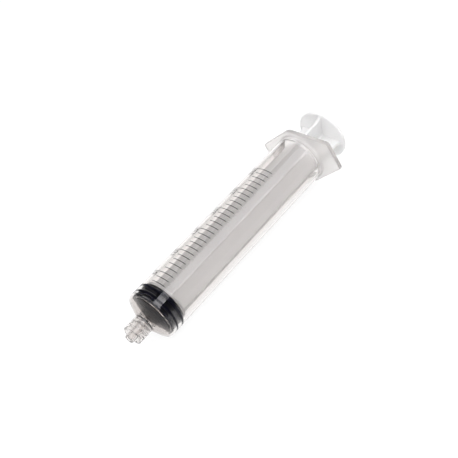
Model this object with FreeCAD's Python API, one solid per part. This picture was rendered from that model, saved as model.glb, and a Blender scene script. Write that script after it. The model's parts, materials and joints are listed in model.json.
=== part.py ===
"""Three-piece 30 ml luer lock syringe, lying as it rests on a table.

Barrel, rubber stopper and cross-ribbed plunger rod are three mouldings.  They are drawn
on the X axis, with 0 at the scale's zero line, the luer tip towards -X and the thumb rest
towards +X.  The whole syringe is then tilted until the barrel's front corner and one long
side of the finger flange touch the table.  Lengths are in mm and angles in degrees.
"""
import FreeCAD, Part
import math
import os

from FreeCAD import Vector

# Barrel tube
bore_diameter = 21.7
tube_wall = 1.2
tube_length = 104.9

# Front wall of the barrel, a shallow cone between tube and collar that thickens towards the tip
front_corner_place = -1.2
front_corner_radius = 1.8
front_slope = 27.0
front_wall = 1.35
chamber_front_slope = 21.0
inner_corner_radius = 0.9

# Luer cone inside its lock collar
collar_outer_diameter = 9.1
collar_inner_diameter = 8.0
collar_front = -12.7
collar_depth = 7.0
collar_rim_radius = 0.3
collar_root_radius = 0.5
cone_tip_diameter = 3.97
cone_taper = 0.06
cone_ahead_of_collar = 2.1
cone_edge_radius = 0.25
fluid_bore_diameter = 2.2

# Finger flange, a hexagon with rounded corners and blunt ends
flange_half_span = 21.1
flange_side_distance = 13.8
flange_side_slope = 20.0
flange_apex_radius = 6.0
flange_corner_radius = 1.1
flange_thickness = 1.9
flange_edge_bevel = 0.35
flange_root_radius = 1.0

# Rear mouth and the bead that keeps the stopper in
mouth_chamfer = 0.5
bead_height = 0.3
bead_width = 1.8
bead_radius = 0.5
bead_from_rear = 3.6

# Stopper
stopper_clearance = 0.08
stopper_front_gap = 0.3
stopper_nose_radius = 6.6
stopper_nose_edge = 0.8
stopper_shoulder_radius = 1.0
ring_width = 2.4
groove_width = 2.2
groove_depth = 0.9
ring_edge_radius = 0.3

# Snap joint: a mushroom head on the rod in an undercut socket in the stopper
head_radius = 5.7
head_lead_radius = 4.4
head_length = 2.6
neck_radius = 4.3
neck_length = 2.2
socket_clearance = 0.12

# Plunger rod
seat_disc_clearance = 0.65
seat_disc_thickness = 1.3
seat_disc_edge = 0.3
fin_clearance = 0.85
fin_thickness = 1.4
fin_turn = 5.5
core_radius = 1.6

# Thumb rest
thumb_from_flange = 14.6
thumb_radius = 12.6
thumb_thickness = 1.6
thumb_edge_radius = 0.5
thumb_foot_radius = 11.2
thumb_foot_length = 1.8
grip_groove_count = 3
grip_groove_pitch = 2.6
grip_groove_width = 0.7
grip_groove_depth = 0.35

# Edges up to this rounding are drawn as flat bevels, larger ones as arcs
finest_arc = 1.0

# Sizes worked out from the ones above
bore_radius = bore_diameter / 2
outer_radius = bore_radius + tube_wall
collar_radius = collar_outer_diameter / 2
collar_bore = collar_inner_diameter / 2
collar_floor = collar_front + collar_depth
cone_front = collar_front - cone_ahead_of_collar
cone_front_radius = cone_tip_diameter / 2
cone_root_radius = cone_front_radius + cone_taper / 2 * (collar_floor - cone_front)
channel_radius = fluid_bore_diameter / 2
rear_face = tube_length + flange_thickness
bead_place = rear_face - bead_from_rear
flange_hub_radius = outer_radius + 1.1 * flange_root_radius
ring_radius = bore_radius - stopper_clearance
groove_radius = ring_radius - groove_depth
seat_disc_radius = bore_radius - seat_disc_clearance
fin_radius = bore_radius - fin_clearance
thumb_front = rear_face + thumb_from_flange
thumb_rear = thumb_front + thumb_thickness
AXIS = Vector(1, 0, 0)
ORIGIN = Vector(0, 0, 0)


def front_place(radius):
    """Place along the axis of the barrel's sloped front face at a radius."""
    return front_corner_place - (outer_radius - radius) * math.tan(math.radians(front_slope))


def chamber_front(radius, gap=0):
    """Place along the axis of the chamber's front face at a radius, moved inwards by a gap."""
    corner = front_place(bore_radius) + front_wall / math.cos(math.radians(front_slope))
    slope = math.radians(chamber_front_slope)
    return corner - (bore_radius - radius) * math.tan(slope) + gap / math.cos(slope)


stopper_front = chamber_front(ring_radius, stopper_front_gap)
stopper_rear = stopper_front + 2 * ring_width + groove_width
stopper_travel = bead_place - bead_width / 2 - stopper_rear


def outline(corners, to_space):
    """Closed wire through corners (u, v, rounding), with a tangent arc or bevel at each."""
    stretches = []
    for i, (u, v, rounding) in enumerate(corners):
        here = Vector(u, v, 0)
        if rounding == 0:
            stretches.append([here])
            continue
        before = Vector(corners[i - 1][0], corners[i - 1][1], 0) - here
        after = Vector(corners[(i + 1) % len(corners)][0], corners[(i + 1) % len(corners)][1], 0) - here
        before.normalize()
        after.normalize()
        half = before.getAngle(after) / 2
        reach = rounding / math.tan(half)
        inward = (before + after).normalize()
        middle = here + inward * (rounding / math.sin(half) - rounding)
        rounded = [here + before * reach, middle, here + after * reach]
        stretches.append(rounded if rounding > finest_arc else rounded[::2])
    edges = []
    for stretch, following in zip(stretches, stretches[1:] + stretches[:1]):
        if len(stretch) == 3:
            edges.append(Part.Arc(*[to_space(p) for p in stretch]).toShape())
        if len(stretch) == 2:
            edges.append(Part.LineSegment(*[to_space(p) for p in stretch]).toShape())
        edges.append(Part.LineSegment(to_space(stretch[-1]), to_space(following[0])).toShape())
    return Part.Wire(edges)


def turned(corners):
    """Solid of revolution about the X axis from corners (place, radius, rounding)."""
    face = Part.Face(outline(corners, lambda p: Vector(p.x, 0, p.y)))
    return face.revolve(ORIGIN, AXIS, 360)


def drum(start, end, radius):
    """Plain cylinder on the X axis from start to end."""
    return Part.makeCylinder(radius, end - start, Vector(start, 0, 0), AXIS)


def finger_flange():
    """Flange plate round the rear end of the tube, turned until one long side is level."""
    slope = math.radians(flange_side_slope)
    apex = flange_side_distance / math.cos(slope)
    end = apex - flange_half_span * math.tan(slope)
    corners = []
    for side in (1, -1):
        corners.append((0, side * apex, flange_apex_radius))
        corners.append((side * flange_half_span, side * end, flange_corner_radius))
        corners.append((side * flange_half_span, -side * end, flange_corner_radius))
    wire = outline(corners, lambda p: Vector(tube_length, p.x, p.y))
    plate = Part.Face(wire).extrude(Vector(flange_thickness, 0, 0))
    rims = [edge for edge in plate.Edges if edge.BoundBox.XLength < flange_thickness / 2]
    plate = plate.makeChamfer(flange_edge_bevel, rims)
    plate = plate.cut(drum(tube_length - 1, rear_face + 1, outer_radius))
    return plate.rotate(ORIGIN, AXIS, -flange_side_slope)


def barrel():
    """Tube, sloped front wall, luer cone and lock collar in one turning, with the flange."""
    body = turned([
        (cone_front, channel_radius, 0),
        (cone_front, cone_front_radius, cone_edge_radius),
        (collar_floor, cone_root_radius, 0),
        (collar_floor, collar_bore, 0),
        (collar_front, collar_bore, 0),
        (collar_front, collar_radius, collar_rim_radius),
        (front_place(collar_radius), collar_radius, collar_root_radius),
        (front_corner_place, outer_radius, front_corner_radius),
        (tube_length, outer_radius, flange_root_radius),
        (tube_length, flange_hub_radius, 0),
        (rear_face, flange_hub_radius, 0),
        (rear_face, bore_radius + mouth_chamfer, 0),
        (rear_face - mouth_chamfer, bore_radius, 0),
        (bead_place + bead_width / 2, bore_radius, 0),
        (bead_place, bore_radius - bead_height, bead_radius),
        (bead_place - bead_width / 2, bore_radius, 0),
        (chamber_front(bore_radius), bore_radius, inner_corner_radius),
        (chamber_front(channel_radius), channel_radius, 0),
    ])
    return body.fuse(finger_flange()).removeSplitter()


def stopper():
    """Rubber stopper: nose cone, two sealing rings and the undercut socket for the head."""
    nose_front = chamber_front(stopper_nose_radius, stopper_front_gap)
    mouth = neck_radius + socket_clearance
    cave = head_radius + socket_clearance
    ledge = stopper_rear - neck_length
    floor = ledge - head_length - 2 * socket_clearance
    first_ring = stopper_front + ring_width
    second_ring = first_ring + groove_width
    return turned([
        (nose_front, 0, 0),
        (nose_front, stopper_nose_radius, stopper_nose_edge),
        (stopper_front, ring_radius, stopper_shoulder_radius),
        (first_ring, ring_radius, ring_edge_radius),
        (first_ring, groove_radius, 0),
        (second_ring, groove_radius, 0),
        (second_ring, ring_radius, ring_edge_radius),
        (stopper_rear, ring_radius, ring_edge_radius),
        (stopper_rear, mouth, 0),
        (ledge, mouth, 0),
        (ledge, cave, 0),
        (floor, head_lead_radius + socket_clearance, 0),
        (floor, 0, 0),
    ])


def thumb_rest():
    """Thumb disc with eased edges and V-shaped grip rings turned into its rear face."""
    corners = [
        (thumb_front, 0, 0),
        (thumb_front, thumb_radius, thumb_edge_radius),
        (thumb_rear, thumb_radius, thumb_edge_radius),
    ]
    for i in range(grip_groove_count):
        middle = thumb_radius - (i + 1) * grip_groove_pitch
        corners.append((thumb_rear, middle + grip_groove_width / 2, 0))
        corners.append((thumb_rear - grip_groove_depth, middle, 0))
        corners.append((thumb_rear, middle - grip_groove_width / 2, 0))
    corners.append((thumb_rear, 0, 0))
    return turned(corners)


def plunger_rod():
    """Mushroom head, neck, seat disc, four fins on a round core, and the thumb rest."""
    seat_front = stopper_rear + socket_clearance
    seat_rear = seat_front + seat_disc_thickness
    head_rear = stopper_rear - neck_length - socket_clearance
    head_front = head_rear - head_length
    rod = turned([
        (head_front, 0, 0),
        (head_front, head_lead_radius, 0),
        (head_rear, head_radius, 0),
        (head_rear, neck_radius, 0),
        (seat_front, neck_radius, 0),
        (seat_front, seat_disc_radius, seat_disc_edge),
        (seat_rear, seat_disc_radius, seat_disc_edge),
        (seat_rear, core_radius, 0),
        (thumb_front, core_radius, 0),
        (thumb_front, 0, 0),
    ])
    fins = drum(seat_rear, thumb_front, fin_radius)
    foot = Part.makeCone(fin_radius, thumb_foot_radius, thumb_foot_length,
                         Vector(thumb_front - thumb_foot_length, 0, 0), AXIS)
    blades = []
    for turn in (fin_turn, fin_turn + 90):
        blade = Part.makeBox(thumb_front - seat_rear, 3 * fin_radius, fin_thickness,
                             Vector(seat_rear, -1.5 * fin_radius, -fin_thickness / 2))
        blades.append(blade.rotate(ORIGIN, AXIS, turn))
    cross = blades[0].fuse(blades[1]).common(fins.fuse(foot))
    return rod.fuse([cross, thumb_rest()]).removeSplitter()


def table_tilt():
    """Angle of the axis when front corner and flange side both touch the table."""
    corner_radius = outer_radius - front_corner_radius
    turn = math.radians(90 - front_slope)
    corner_place = front_corner_place + front_corner_radius * math.tan(turn / 2)
    rise = flange_side_distance - corner_radius
    run = tube_length + flange_edge_bevel - corner_place
    reach = math.acos(front_corner_radius / math.hypot(rise, run))
    return math.degrees(reach - math.atan2(run, rise))


def rest(point):
    """Where a point of the syringe drawn on the X axis lies on the table."""
    tilt = math.radians(table_tilt())
    x = point.x * math.cos(tilt) - point.z * math.sin(tilt)
    z = point.x * math.sin(tilt) + point.z * math.cos(tilt)
    front = cone_front * math.cos(tilt) - (cone_front_radius - cone_edge_radius) * math.sin(tilt)
    rear = thumb_rear * math.cos(tilt) + (thumb_radius - thumb_edge_radius) * math.sin(tilt)
    foot = tube_length + flange_edge_bevel
    floor = foot * math.sin(tilt) - flange_side_distance * math.cos(tilt)
    return Vector(x - (front + rear) / 2, point.y, z - floor)


def laid(shape):
    """The same solid as it lies on the table."""
    turned_shape = shape.rotate(ORIGIN, Vector(0, 1, 0), -table_tilt())
    return turned_shape.translate(rest(ORIGIN))


def main():
    os.makedirs("parts", exist_ok=True)
    pieces = {"barrel": barrel(), "stopper": stopper(), "plunger_rod": plunger_rod()}
    for name, shape in pieces.items():
        solid = laid(shape)
        solid.exportStep("parts/" + name + ".step")
        box = solid.optimalBoundingBox()
        print(name, len(solid.Solids), solid.isValid(), round(solid.Volume), box)
    print("tilt", round(table_tilt(), 3), "travel", round(stopper_travel, 2))


main()
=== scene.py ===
import json
import math

import bmesh
import bpy
from mathutils import Euler, Matrix, Vector


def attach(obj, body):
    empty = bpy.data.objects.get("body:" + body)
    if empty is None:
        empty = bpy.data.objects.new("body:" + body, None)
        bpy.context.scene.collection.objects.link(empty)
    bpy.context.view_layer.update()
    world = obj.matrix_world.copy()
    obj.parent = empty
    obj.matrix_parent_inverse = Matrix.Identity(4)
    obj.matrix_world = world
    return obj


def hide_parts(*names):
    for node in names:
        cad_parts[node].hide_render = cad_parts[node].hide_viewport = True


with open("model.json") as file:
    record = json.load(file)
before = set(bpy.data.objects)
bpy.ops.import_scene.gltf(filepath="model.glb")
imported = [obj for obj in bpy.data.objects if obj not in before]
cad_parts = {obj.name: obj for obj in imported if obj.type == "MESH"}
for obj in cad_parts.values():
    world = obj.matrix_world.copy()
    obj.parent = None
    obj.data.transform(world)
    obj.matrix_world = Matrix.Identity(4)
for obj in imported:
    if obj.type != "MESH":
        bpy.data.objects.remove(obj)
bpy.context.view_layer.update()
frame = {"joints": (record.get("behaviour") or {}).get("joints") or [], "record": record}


# Barrel.  One moulding of clear, slightly frosted polypropylene: the tube, its sloped front wall, the luer
# cone inside a lock collar with a double-start thread, and the six-sided finger flange.  The bore, cone and
# collar are turned in one go, and the flange plate is joined on round the mouth.
bore_radius = 10.85
tube_radius = 12.05
tube_length = 104.9
front_corner = (-1.2, 1.8)
front_slope = math.radians(27)
front_wall = 1.35
chamber_front_slope = math.radians(19.5)
collar_front = -12.7
collar_floor = -5.7
collar_radius = 4.55
collar_bore = 4.0
cone_front = -14.8
cone_tip_radius = 1.985
cone_root_radius = 2.258
channel_radius = 1.1
thread_height = 0.32
thread_lead = 5.0
thread_starts = 2
flange_thickness = 1.9
flange_side_distance = 13.8
flange_side_slope = math.radians(20)
flange_half_span = 21.1
flange_root = 1.0
flange_apex_rounding = 6.0
flange_corner_rounding = 1.1
flange_rim_rounding = 0.35
hub_radius = 13.15
rear_face = 106.8
mouth_bevel_depth = 0.6
mouth_bevel_width = 0.3
bead_place = 103.2
bead_height = 0.3
bead_half_width = 0.9

slide_axis = Vector(next(j["axis"] for j in frame["joints"] if j["name"] == "plunger_slide"))
cone_end = Vector(next(m["pos_m"] for m in frame["record"]["mounts"] if m["name"] == "luer_lock"))
lying = (
    Matrix.Translation(cone_end - cone_front * 0.001 * slide_axis)
    @ Matrix.Rotation(-math.atan2(slide_axis.z, slide_axis.x), 4, "Y")
    @ Matrix.Scale(0.001, 4)
)


def front_place(radius):
    """Place along the syringe of the barrel's sloped front face at a radius."""
    return front_corner[0] - (tube_radius - radius) * math.tan(front_slope)


def chamber_front(radius, gap=0.0):
    """Place along the syringe of the chamber's front face at a radius, moved inwards by a gap."""
    corner = front_place(bore_radius) + front_wall / math.cos(front_slope)
    slope = chamber_front_slope
    return corner - (bore_radius - radius) * math.tan(slope) + gap / math.cos(slope)


def round_corners(bm, corners, arc_steps=6):
    """Flat outline through (place, radius, rounding) in the XZ plane, its corners rounded to arcs."""
    points = []
    for i, (u, w, rounding) in enumerate(corners):
        here = Vector((u, 0, w))
        if not rounding:
            points.append((here, 0))
            continue
        before = Vector((corners[i - 1][0], 0, corners[i - 1][1])) - here
        after = Vector((corners[(i + 1) % len(corners)][0], 0, corners[(i + 1) % len(corners)][1])) - here
        reach = rounding / math.tan(before.angle(after) / 2)
        hold = 1.2 * reach
        if before.length > 2.5 * reach:
            points.append((here + before.normalized() * hold, 0))
        points.append((here, reach))
        if after.length > 2.5 * reach:
            points.append((here + after.normalized() * hold, 0))
    verts = [bm.verts.new(place) for place, reach in points]
    outline = bm.faces.new(verts)
    for vert, (place, reach) in zip(verts, points):
        if reach:
            bmesh.ops.bevel(bm, geom=[vert], offset=reach, offset_type="OFFSET", segments=arc_steps,
                            profile=0.5, affect="VERTICES", material=-1)
    return outline


def turn(bm, corners, steps=240):
    """Solid turned about the X axis from a closed outline of (place, radius, rounding)."""
    round_corners(bm, corners)
    bmesh.ops.delete(bm, geom=bm.faces[:], context="FACES_ONLY")
    on_axis = [edge for edge in bm.edges if max(vert.co.z for vert in edge.verts) < 1e-6]
    bmesh.ops.delete(bm, geom=on_axis, context="EDGES")
    bmesh.ops.spin(bm, geom=bm.verts[:] + bm.edges[:], cent=(0, 0, 0), axis=(1, 0, 0), dvec=(0, 0, 0),
                   angle=2 * math.pi, steps=steps, use_merge=True)
    bmesh.ops.remove_doubles(bm, verts=bm.verts, dist=1e-5)
    bmesh.ops.recalc_face_normals(bm, faces=bm.faces)


def lay_down(bm, name, material, body, crease=40):
    """Piece from a mesh drawn along X in millimetres, laid where the syringe lies on the table."""
    bmesh.ops.recalc_face_normals(bm, faces=bm.faces)
    bmesh.ops.transform(bm, matrix=lying, verts=bm.verts)
    mesh = bpy.data.meshes.new(name)
    bm.to_mesh(mesh)
    bm.free()
    mesh.shade_smooth()
    mesh.set_sharp_from_angle(angle=math.radians(crease))
    mesh.materials.append(material)
    piece = bpy.data.objects.new(name, mesh)
    bpy.context.scene.collection.objects.link(piece)
    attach(piece, body)
    return piece


class Value:
    """A number from a node, usable in sums and products: each adds its Math node."""

    def __init__(self, finish, socket):
        self.finish = finish
        self.socket = socket

    def _maths(self, operation, first, second):
        node = self.finish.node("ShaderNodeMath", {"operation": operation}, {0: first, 1: second})
        return Value(self.finish, node.outputs[0])

    def __add__(self, other):
        return self._maths("ADD", self, other)

    __radd__ = __add__

    def __sub__(self, other):
        return self._maths("SUBTRACT", self, other)

    def __rsub__(self, other):
        return self._maths("SUBTRACT", other, self)

    def __mul__(self, other):
        return self._maths("MULTIPLY", self, other)

    __rmul__ = __mul__


class Finish:
    """A material with its shader, and one way to add any other node."""

    def __init__(self, name, **uniform):
        self.material = bpy.data.materials.new(name)
        self.material.use_nodes = True
        self.tree = self.material.node_tree
        self.shader = self.tree.nodes["Principled BSDF"]
        for socket, value in uniform.items():
            self.shader.inputs[socket.replace("_", " ")].default_value = value
        self.place = self.node("ShaderNodeTexCoord").outputs["Object"]

    def node(self, kind, settings={}, sockets={}):
        node = self.tree.nodes.new(kind)
        for name, value in settings.items():
            setattr(node, name, value)
        for name, value in sockets.items():
            self.join(value, node.inputs[name])
        return node

    def join(self, value, socket):
        if isinstance(value, Value):
            value = value.socket
        if isinstance(value, bpy.types.NodeSocket):
            self.tree.links.new(value, socket)
        else:
            socket.default_value = value

    def noise(self, scale, detail):
        """Soft noise from 0 to 1, its scale in features for each millimetre."""
        placed = self.node("ShaderNodeMapping", {}, {"Vector": self.place, "Scale": (1000, 1000, 1000)})
        noise = self.node("ShaderNodeTexNoise", {}, {
            "Vector": placed.outputs[0], "Scale": scale, "Detail": detail, "Roughness": 0.5})
        return Value(self, noise.outputs["Fac"])

    def blend(self, share, first, second):
        """Colour between first and second."""
        mix = self.node("ShaderNodeMix", {"data_type": "RGBA"}, {0: share, 6: first, 7: second})
        return mix.outputs[2]

    def bump(self, height, strength, distance):
        bump = self.node("ShaderNodeBump", {}, {"Height": height, "Strength": strength, "Distance": distance})
        self.join(bump.outputs[0], self.shader.inputs["Normal"])

    def set(self, **varying):
        for socket, value in varying.items():
            self.join(value, self.shader.inputs[socket.replace("_", " ")])


clear = Finish("clear_polypropylene", Transmission_Weight=1.0, IOR=1.49, Specular_Tint=(0.4, 0.4, 0.42, 1))
cloud = clear.noise(0.08, 3)
grain = clear.noise(1.6, 2)

# How far a point lies into the flange, the collar and the front wall, from 0 to 1 along the syringe
along = clear.node("ShaderNodeSeparateXYZ", {}, {0: clear.place}).outputs[0]
zones = []
for first, last in ((tube_length - 5.0, tube_length), (-4.8, -5.8), (-0.5, -2.5)):
    zone_start, zone_end = ((lying @ Vector((place, 0, 0))).x for place in (first, last))
    zone = clear.node("ShaderNodeMapRange", {"interpolation_type": "SMOOTHSTEP"}, {
        0: along, 1: zone_start, 2: zone_end})
    zones.append(Value(clear, zone.outputs[0]))
to_flange, to_collar, front_painted_shade = zones

tint = clear.blend(cloud, (0.98, 0.96, 0.95, 1), (0.995, 0.98, 0.97, 1))
# Painted shade: the front wall's base colour is darkened to brown-grey (less so on the collar), standing in
# for the darker look of the nose
clear.set(Base_Color=clear.blend(front_painted_shade * (1 - 0.8 * to_collar), tint, (0.68, 0.64, 0.62, 1)))
clear.set(Roughness=0.01 + 0.02 * cloud + 0.01 * grain)
clear.bump(clear.noise(0.35, 2), 0.15, 0.0002)

# Matt haze mixed in at the flange and, faintly, at the collar
frost = clear.node("ShaderNodeBsdfPrincipled", {}, {
    "Base Color": (0.93, 0.915, 0.91, 1), "Roughness": 0.45, "IOR": 1.3, "Transmission Weight": 0.5,
    "Specular IOR Level": 0.3})
mixed = clear.node("ShaderNodeMixShader", {}, {
    0: 0.35 * to_flange + 0.10 * to_collar, 1: clear.shader.outputs[0], 2: frost.outputs[0]})
clear.join(mixed.outputs[0], clear.tree.nodes["Material Output"].inputs["Surface"])
depth = clear.node("ShaderNodeVolumeAbsorption", {}, {"Color": (0.706, 0.676, 0.659, 1), "Density": 85.0})
clear.join(depth.outputs[0], clear.tree.nodes["Material Output"].inputs["Volume"])

thread_rows = [collar_floor - 0.4 - 0.1 * i for i in range(63)]
bm = bmesh.new()
turn(bm, [
    (cone_front, channel_radius, 0),
    (cone_front, cone_tip_radius, 0.25),
    (collar_floor, cone_root_radius, 0.3),
    (collar_floor, collar_bore, 0.3),
    *[(place, collar_bore, 0) for place in thread_rows],
    (collar_front, collar_bore, 0.12),
    (collar_front, collar_radius, 0.2),
    (front_place(collar_radius), collar_radius, 0.5),
    (front_corner[0], tube_radius, front_corner[1]),
    (tube_length, tube_radius, flange_root),
    (tube_length, hub_radius, 0),
    (rear_face, hub_radius, 0),
    (rear_face, bore_radius + mouth_bevel_width, 0.4),
    (rear_face - mouth_bevel_depth, bore_radius, 0.3),
    (bead_place + bead_half_width, bore_radius, 0.8),
    (bead_place, bore_radius - bead_height, 0.5),
    (bead_place - bead_half_width, bore_radius, 0.8),
    (chamber_front(bore_radius), bore_radius, 0.85),
    (chamber_front(channel_radius), channel_radius, 0.2),
], steps=288)

# The thread's ridges, pressed in from the collar's bore
for vert in bm.verts:
    radius = math.hypot(vert.co.y, vert.co.z)
    if abs(radius - collar_bore) < 1e-3 and collar_front + 0.2 < vert.co.x < collar_floor - 0.35:
        around = math.atan2(vert.co.z, vert.co.y) / (2 * math.pi)
        turned = (vert.co.x / thread_lead - around) * thread_starts
        flank = 1 - abs(2 * (turned % 1) - 1)
        rise = min(1, max(0, (flank - 0.45) / 0.35))
        height = thread_height * rise * rise * (3 - 2 * rise)
        fade = min(1, (collar_floor - 0.35 - vert.co.x) / 0.8)
        scale = (radius - height * fade) / radius
        vert.co.y *= scale
        vert.co.z *= scale

# The flange plate: a hexagon with two large and four small roundings, its rims eased, then joined to the hub
hub_strip = [face for face in bm.faces
             if all(abs(math.hypot(v.co.y, v.co.z) - hub_radius) < 1e-3 for v in face.verts)]
bmesh.ops.delete(bm, geom=hub_strip, context="FACES")
apex = flange_side_distance / math.cos(flange_side_slope)
end = apex - flange_half_span * math.tan(flange_side_slope)
plate = bmesh.new()
round_corners(plate, [
    (0, apex, flange_apex_rounding),
    (flange_half_span, end, flange_corner_rounding),
    (flange_half_span, -end, flange_corner_rounding),
    (0, -apex, flange_apex_rounding),
    (-flange_half_span, -end, flange_corner_rounding),
    (-flange_half_span, end, flange_corner_rounding),
], arc_steps=12)
long_edges = [edge for edge in plate.edges if edge.calc_length() > 4]
bmesh.ops.subdivide_edges(plate, edges=long_edges, cuts=23)
bmesh.ops.rotate(plate, verts=plate.verts, cent=(0, 0, 0), matrix=Matrix.Rotation(math.radians(90), 3, "Z"))
bmesh.ops.rotate(plate, verts=plate.verts, cent=(0, 0, 0), matrix=Matrix.Rotation(-flange_side_slope, 3, "X"))
bmesh.ops.translate(plate, verts=plate.verts, vec=(tube_length, 0, 0))
raised = bmesh.ops.extrude_face_region(plate, geom=plate.faces[:])
bmesh.ops.translate(plate, verts=[g for g in raised["geom"] if isinstance(g, bmesh.types.BMVert)],
                    vec=(flange_thickness, 0, 0))
rims = [edge for edge in plate.edges if abs(edge.verts[0].co.x - edge.verts[1].co.x) < 1e-6]
bmesh.ops.bevel(plate, geom=rims, offset=flange_rim_rounding, offset_type="OFFSET", segments=4,
                profile=0.5, affect="EDGES", material=-1)
caps = [face for face in plate.faces if len(face.verts) > 20]
bmesh.ops.inset_individual(plate, faces=caps, thickness=0.12, use_even_offset=True)
bmesh.ops.delete(plate, geom=[face for face in plate.faces if len(face.verts) > 20], context="FACES")
plate_mesh = bpy.data.meshes.new("flange_plate")
plate.to_mesh(plate_mesh)
plate.free()
bm.from_mesh(plate_mesh)
bpy.data.meshes.remove(plate_mesh)
for place in (tube_length, rear_face):
    open_edges = [edge for edge in bm.edges if edge.is_boundary
                  and all(abs(vert.co.x - place) < 1e-4 for vert in edge.verts)]
    bmesh.ops.bridge_loops(bm, edges=open_edges)
barrel = lay_down(bm, "clear_barrel", clear.material, "barrel")
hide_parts("barrel")


# Scale.  Thin dark ink printed on the barrel before packing: a line for each millilitre, a longer one for
# each five, and small numbers beside the long lines.  Every line is a flat ribbon that follows the wall.
millilitre = 2.704
ink_width = 0.32
ink_top = 0.015
line_end = 109.4
short_start = 76.0
long_start = 52.0
number_start = 71.0
number_size = 4.0
number_gap = 0.6

ink = Finish("scale_ink", Specular_IOR_Level=0.35)
wear = ink.noise(2.5, 3)
ink.set(Base_Color=ink.blend(wear, (0.012, 0.012, 0.013, 1), (0.035, 0.034, 0.033, 1)))
ink.set(Roughness=0.45 + 0.15 * wear)

bm = bmesh.new()
for mark in range(31):
    start = long_start if mark % 5 == 0 else short_start
    low, high = mark * millilitre - ink_width / 2, mark * millilitre + ink_width / 2
    section = bm.faces.new([bm.verts.new((place, radius, 0)) for place, radius in (
        (low, tube_radius - 0.02), (high, tube_radius - 0.02), (high, tube_radius + ink_top),
        (low, tube_radius + ink_top))])
    bmesh.ops.rotate(bm, verts=section.verts[:], cent=(0, 0, 0),
                     matrix=Matrix.Rotation(math.radians(start), 3, "X"))
    bmesh.ops.spin(bm, geom=section.verts[:] + section.edges[:] + [section], cent=(0, 0, 0), axis=(1, 0, 0),
                   dvec=(0, 0, 0), angle=math.radians(line_end - start), steps=24)
lay_down(bm, "scale_lines", ink.material, "barrel")

bm = bmesh.new()
for mark in range(5, 31, 5):
    text = bpy.data.curves.new("number", "FONT")
    text.body = str(mark)
    text.size = number_size
    text.extrude = 0.02
    text.align_x = "RIGHT"
    written = bpy.data.objects.new("number", text)
    bpy.context.scene.collection.objects.link(written)
    bpy.context.view_layer.update()
    glyphs = bpy.data.meshes.new_from_object(written.evaluated_get(bpy.context.evaluated_depsgraph_get()))
    bpy.data.objects.remove(written)
    glyphs.transform(Matrix.Translation((mark * millilitre - number_gap, 0, 0)))
    bm.from_mesh(glyphs)
    bpy.data.meshes.remove(glyphs)
for vert in bm.verts:
    angle = math.radians(number_start) - vert.co.y / tube_radius
    radius = tube_radius + vert.co.z
    vert.co = (vert.co.x, radius * math.cos(angle), radius * math.sin(angle))
bmesh.ops.remove_doubles(bm, verts=bm.verts, dist=1e-4)
lay_down(bm, "scale_numbers", ink.material, "barrel")


# Stopper.  Soft near-black rubber with a film of silicone oil: a blunt cone in front, two sealing rings with
# a groove between, and an undercut socket behind for the rod's head.  Pushed over the head and turned round.
ring_radius = bore_radius - 0.08
lip_radius = bore_radius + 0.01
groove_radius = ring_radius - 0.9
front_gap = 0.3
nose_radius = 6.4
stopper_length = 7.0
first_lip = (1.6, 2.6)
second_lip = (4.75, 5.9)
lip_flank = 0.2
groove_flank = 0.25
mouth_radius = 4.42
undercut_radius = 5.82
socket_floor_radius = 4.52
neck_length = 2.2
socket_depth = 5.04
nose_front = chamber_front(nose_radius, front_gap)
stopper_front = chamber_front(ring_radius, front_gap)
stopper_rear = stopper_front + stopper_length

rubber = Finish("stopper_rubber", IOR=1.5, Coat_Roughness=0.12, Specular_IOR_Level=0.02)
bloom = rubber.noise(0.25, 4)
film = Value(rubber, rubber.node("ShaderNodeAttribute", {"attribute_name": "oil_film"}).outputs["Fac"])
rubber.set(Base_Color=rubber.blend(bloom, (0.003, 0.003, 0.008, 1), (0.006, 0.006, 0.015, 1)))
rubber.set(Roughness=0.28 + 0.2 * bloom)
rubber.set(Coat_Weight=film * (0.5 + 0.4 * bloom))
rubber.bump(rubber.noise(3.0, 3), 0.25, 0.00005)

bm = bmesh.new()
turn(bm, [
    (nose_front, 0, 0),
    (nose_front, nose_radius, 0.8),
    (stopper_front, ring_radius - 0.05, 0.8),
    (stopper_front + first_lip[0] - lip_flank, ring_radius, 0.2),
    (stopper_front + first_lip[0], lip_radius, 0.08),
    (stopper_front + first_lip[1], lip_radius, 0.08),
    (stopper_front + first_lip[1] + lip_flank, groove_radius, 0.3),
    (stopper_front + second_lip[0] - groove_flank, groove_radius, 0.3),
    (stopper_front + second_lip[0], lip_radius, 0.08),
    (stopper_front + second_lip[1], lip_radius, 0.08),
    (stopper_front + second_lip[1] + lip_flank, ring_radius, 0.2),
    (stopper_rear, ring_radius - 0.3, 0.35),
    (stopper_rear, mouth_radius, 0),
    (stopper_rear - neck_length, mouth_radius, 0),
    (stopper_rear - neck_length, undercut_radius, 0),
    (stopper_rear - socket_depth, socket_floor_radius, 0),
    (stopper_rear - socket_depth, 0, 0),
])
oil_film = bm.verts.layers.float.new("oil_film")
for vert in bm.verts:
    radius = math.hypot(vert.co.y, vert.co.z)
    vert[oil_film] = float(groove_radius - 0.1 < radius < ring_radius + 0.02 and vert.co.x > stopper_front)
rubber_stopper = lay_down(bm, "rubber_stopper", rubber.material, "stopper")
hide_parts("stopper")


# Plunger rod.  One moulding of milky polypropylene: a mushroom head that snaps into the stopper, a seat disc,
# four fins on a round core, and the thumb disc with three turned grip rings.
fin_radius = bore_radius - 0.85
fin_thickness = 1.4
fin_turn = math.radians(5.5)
core_radius = 1.6
snap_gap = 0.12
seat_radius = bore_radius - 0.65
seat_front = stopper_rear + snap_gap
seat_rear = seat_front + 1.3
neck_radius = 4.3
head_radius = 5.7
head_front_radius = 4.4
head_length = 2.6
head_rear = stopper_rear - neck_length - snap_gap
thumb_front = rear_face + 14.6
thumb_rear = thumb_front + 1.6
thumb_radius = 12.6
grip_rings = (10.0, 7.4, 4.8)
grip_half_width = 0.35
grip_depth = 0.35
foot_length = 1.8
foot_radius = 11.2

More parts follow.
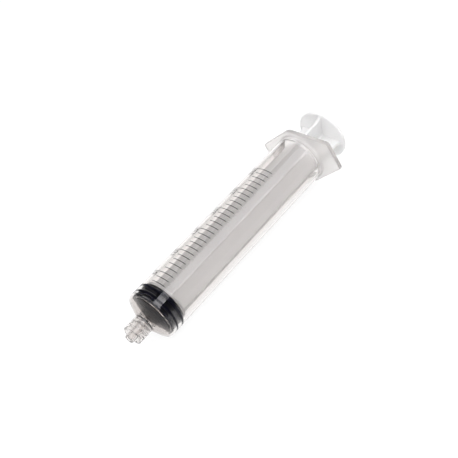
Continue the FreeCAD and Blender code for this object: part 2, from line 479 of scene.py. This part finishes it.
milky = Finish("milky_polypropylene", IOR=1.49, Transmission_Weight=0.3, Specular_IOR_Level=0.25,
               Subsurface_Weight=1.0, Subsurface_Radius=(1.0, 1.0, 1.0), Subsurface_Scale=0.003)
haze = milky.noise(0.12, 3)
milky.set(Base_Color=milky.blend(haze, (0.88, 0.875, 0.875, 1), (0.91, 0.905, 0.905, 1)))
milky.set(Roughness=0.35 + 0.12 * haze)
milky.bump(milky.noise(0.5, 2), 0.15, 0.0002)

grip = []
for ring in grip_rings:
    grip += [
        (thumb_rear, ring + grip_half_width, 0.1),
        (thumb_rear - grip_depth, ring, 0.12),
        (thumb_rear, ring - grip_half_width, 0.1),
    ]
bm = bmesh.new()
turn(bm, [
    (head_rear - head_length, 0, 0),
    (head_rear - head_length, head_front_radius, 0.3),
    (head_rear, head_radius, 0.2),
    (head_rear, neck_radius, 0.2),
    (seat_front, neck_radius, 0.2),
    (seat_front, seat_radius, 0.3),
    (seat_rear, seat_radius, 0.3),
    (seat_rear, core_radius, 0.4),
    (thumb_front, core_radius, 0.4),
    (thumb_front, thumb_radius, 0.5),
    (thumb_rear, thumb_radius, 0.5),
    *grip,
    (thumb_rear, 0, 0),
], steps=192)
turned_rod = bpy.data.meshes.new("turned_rod")
bm.to_mesh(turned_rod)
bm.free()
bm = bmesh.new()
for turned_by in (fin_turn, fin_turn + math.pi / 2):
    half = [(seat_rear - 0.3, fin_radius), (thumb_front - foot_length, fin_radius),
            (thumb_front, foot_radius), (thumb_front + 0.3, foot_radius)]
    web = bm.faces.new([bm.verts.new((place, reach, -fin_thickness / 2))
                        for place, reach in half + [(place, -reach) for place, reach in reversed(half)]])
    raised = bmesh.ops.extrude_face_region(bm, geom=[web])
    raised_verts = [g for g in raised["geom"] if isinstance(g, bmesh.types.BMVert)]
    bmesh.ops.translate(bm, vec=(0, 0, fin_thickness), verts=raised_verts)
    bmesh.ops.rotate(bm, verts=web.verts[:] + raised_verts, cent=(0, 0, 0),
                     matrix=Matrix.Rotation(turned_by, 3, "X"))
bmesh.ops.recalc_face_normals(bm, faces=bm.faces)
blades = bpy.data.meshes.new("blades")
bm.to_mesh(blades)
bm.free()
rod_base = bpy.data.objects.new("rod_base", turned_rod)
rod_blades = bpy.data.objects.new("rod_blades", blades)
for part in (rod_base, rod_blades):
    bpy.context.scene.collection.objects.link(part)
union = rod_base.modifiers.new("union", "BOOLEAN")
union.operation = "UNION"
union.solver = "EXACT"
union.use_self = True
union.object = rod_blades
bpy.context.view_layer.update()
joined = bpy.data.meshes.new_from_object(rod_base.evaluated_get(bpy.context.evaluated_depsgraph_get()))
for part in (rod_base, rod_blades):
    bpy.data.objects.remove(part)
bm = bmesh.new()
bm.from_mesh(joined)
bpy.data.meshes.remove(joined)
plunger = lay_down(bm, "milky_plunger_rod", milky.material, "plunger_rod", crease=35)
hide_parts("plunger_rod")


# Table, light and camera.  A table that glows white by itself as painted light, fading to grey further out, a
# dim room that is pale only low down, a long window-shaped soft box that shows as the grey stripe across the
# rubber, and the camera of the photograph.
bm = bmesh.new()
bmesh.ops.create_grid(bm, x_segments=1, y_segments=1, size=12.0)
table_mesh = bpy.data.meshes.new("table")
bm.to_mesh(table_mesh)
bm.free()
# Painted light: the table glows by emission rather than being lit, and its own colour is a dark grey, so
# shadows hardly show on it
self_lit_table = Finish("self_lit_table_glow", Roughness=0.9, Specular_IOR_Level=0.1, Emission_Strength=0.92)
shade = self_lit_table.noise(0.01, 2)
self_lit_table.set(Base_Color=self_lit_table.blend(shade, (0.10, 0.10, 0.10, 1), (0.12, 0.12, 0.12, 1)))
# Painted pool of light: the glow is white within 0.25 m of the middle and fades to grey by 0.7 m
away = self_lit_table.node("ShaderNodeVectorMath", {"operation": "LENGTH"}, {0: self_lit_table.place}).outputs["Value"]
painted_light_pool = self_lit_table.node("ShaderNodeMapRange", {"interpolation_type": "SMOOTHSTEP"}, {0: away, 1: 0.25, 2: 0.7})
self_lit_table.set(Emission_Color=self_lit_table.blend(painted_light_pool.outputs[0], (1.0, 1.0, 1.0, 1), (0.3, 0.3, 0.3, 1)))
table_mesh.materials.append(self_lit_table.material)
table = bpy.data.objects.new("table", table_mesh)
bpy.context.scene.collection.objects.link(table)

world = bpy.data.worlds.new("studio")
world.use_nodes = True
bpy.context.scene.world = world
room = world.node_tree
height = room.nodes.new("ShaderNodeSeparateXYZ")
fade = room.nodes.new("ShaderNodeValToRGB")
room.links.new(room.nodes.new("ShaderNodeTexCoord").outputs["Generated"], height.inputs[0])
room.links.new(height.outputs["Z"], fade.inputs[0])
room.links.new(fade.outputs[0], room.nodes["Background"].inputs["Color"])
fade.color_ramp.elements[0].color = (0.3, 0.3, 0.3, 1)
fade.color_ramp.elements[1].color = (0.08, 0.08, 0.085, 1)
fade.color_ramp.elements[1].position = 0.3


def soft_box(name, direction, distance, width, length, radiance):
    """Area light seen from the syringe in a direction, its long side along the syringe."""
    outward = Vector(direction).normalized()
    along = (Vector((1, 0, 0)) - outward.x * outward).normalized()
    light = bpy.data.lights.new(name, "AREA")
    light.shape = "RECTANGLE"
    light.size = length
    light.size_y = width
    light.energy = radiance * math.pi * width * length
    lamp = bpy.data.objects.new(name, light)
    facing = Matrix((along, outward.cross(along), outward)).transposed().to_4x4()
    lamp.matrix_world = Matrix.Translation(distance * outward) @ facing
    bpy.context.scene.collection.objects.link(lamp)


soft_box("window", (0.36, -0.39, 0.85), 1.0, 0.59, 0.8, 4.4)
soft_box("front_fill", (-0.45, -0.35, 0.8), 1.2, 1.0, 1.0, 3.6)
soft_box("rear_fill", (0.8, 0.2, 0.6), 1.2, 1.0, 1.0, 1.0)
soft_box("far_fill", (-0.3, 0.5, 0.8), 1.2, 1.0, 1.0, 2.6)

lens = bpy.data.cameras.new("camera")
lens.angle = math.radians(26.888)
lens.clip_start = 0.01
camera = bpy.data.objects.new("camera", lens)
camera.location = (-0.189962, -0.241884, 0.298100)
camera.rotation_euler = Euler([math.radians(turned_by) for turned_by in (45.763, 13.212, -50.347)], "XYZ")
bpy.context.scene.collection.objects.link(camera)
bpy.context.scene.camera = camera
bpy.context.scene.view_settings.view_transform = "Standard"
bpy.context.scene.cycles.max_bounces = 32
bpy.context.scene.cycles.transmission_bounces = 32
bpy.context.scene.cycles.glossy_bounces = 8
bpy.context.scene.cycles.diffuse_bounces = 6
